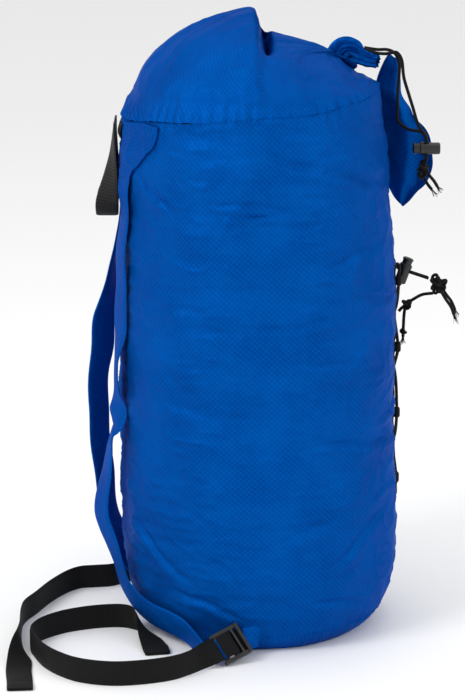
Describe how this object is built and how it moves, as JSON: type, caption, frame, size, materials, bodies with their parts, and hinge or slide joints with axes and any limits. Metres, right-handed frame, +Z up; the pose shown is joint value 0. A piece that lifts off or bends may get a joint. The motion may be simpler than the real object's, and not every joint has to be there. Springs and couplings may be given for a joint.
{
  "type": "stuff sack",
  "caption": "Tall cylindrical drawcord stuff sack, packed full, with shoulder straps, webbing adjusters, a grab handle and side lacing.",
  "frame": {"origin": "centre of the flat base, on the floor", "axes": "+Z up along the sack, -X towards the shoulder straps and grab handle, +X towards the lacing"},
  "size_m": [0.4469, 0.3884, 0.613],
  "materials": {
    "ripstop": "satin",
    "strap_cloth": "matte",
    "webbing": "matte",
    "cord": "matte",
    "plastic": "satin",
    "spring_steel": "satin",
    "filling": "matte"
  },
  "bodies": {
    "sack": {"packed_fill": "filling", "base_panel": "ripstop", "base_seam_binding": "ripstop", "main_tube": "ripstop", "hood_seam_binding": "ripstop", "hood_panel": "ripstop", "mouth_channel": "ripstop", "throat_flap": "ripstop", "mouth_cord_long": "cord", "mouth_cord_short": "cord", "mouth_knot": "cord", "shoulder_strap_near": "strap_cloth", "shoulder_strap_far": "strap_cloth", "strap_loop_near": "strap_cloth", "strap_loop_far": "strap_cloth", "anchor_webbing_near": "webbing", "anchor_webbing_far": "webbing", "webbing_tail_near": "webbing", "webbing_tail_far": "webbing", "handle_patch": "webbing", "lace_tape_near": "webbing", "lace_tape_far": "webbing", "lace_loops_near": "webbing", "lace_loops_far": "webbing", "lace_cord_near": "cord", "lace_cord_far": "cord", "lace_knot": "cord", "lace_tie_cord": "cord", "lace_tie_knots": "cord"},
    "grab_handle": {"grab_handle": "webbing"},
    "mouth_lock": {"mouth_lock_barrel": "plastic", "mouth_lock_spring": "spring_steel"},
    "mouth_lock_button": {"mouth_lock_plunger": "plastic"},
    "lace_lock": {"lace_lock_barrel": "plastic", "lace_lock_spring": "spring_steel"},
    "lace_lock_button": {"lace_lock_plunger": "plastic"},
    "ladder_lock_near": {"ladder_lock_near": "plastic", "webbing_wrap_near": "webbing"},
    "ladder_lock_far": {"ladder_lock_far": "plastic", "webbing_wrap_far": "webbing"}
  },
  "joints": [
    {"name": "handle_swing", "type": "hinge", "parent": "sack", "child": "grab_handle", "pos_m": [-0.1405, 0, 0.513], "axis": [0, 1, 0], "range_deg": [0, 110]},
    {"name": "ladder_tilt_near", "type": "hinge", "parent": "sack", "child": "ladder_lock_near", "pos_m": [-0.0353, -0.14667, 0.01444], "axis": [0.5174, -0.5003, -0.6943], "range_deg": [0, 20]},
    {"name": "ladder_tilt_far", "type": "hinge", "parent": "sack", "child": "ladder_lock_far", "pos_m": [-0.0353, 0.14667, 0.01444], "axis": [-0.5174, -0.5003, 0.6943], "range_deg": [0, 20]},
    {"name": "mouth_lock_slide", "type": "slide", "parent": "sack", "child": "mouth_lock", "axis": [0, 0, 1], "range_m": [0, 0.003]},
    {"name": "mouth_lock_press", "type": "slide", "parent": "mouth_lock", "child": "mouth_lock_button", "axis": [1, 0, 0], "range_m": [0, 0.0035], "stiffness_N_per_m": 400},
    {"name": "lace_lock_slide", "type": "slide", "parent": "sack", "child": "lace_lock", "axis": [0.9281, 0.147, -0.342], "range_m": [0, 0.014]},
    {"name": "lace_lock_press", "type": "slide", "parent": "lace_lock", "child": "lace_lock_button", "axis": [-0.3378, -0.0535, -0.9397], "range_m": [0, 0.0035], "stiffness_N_per_m": 400}
  ]
}
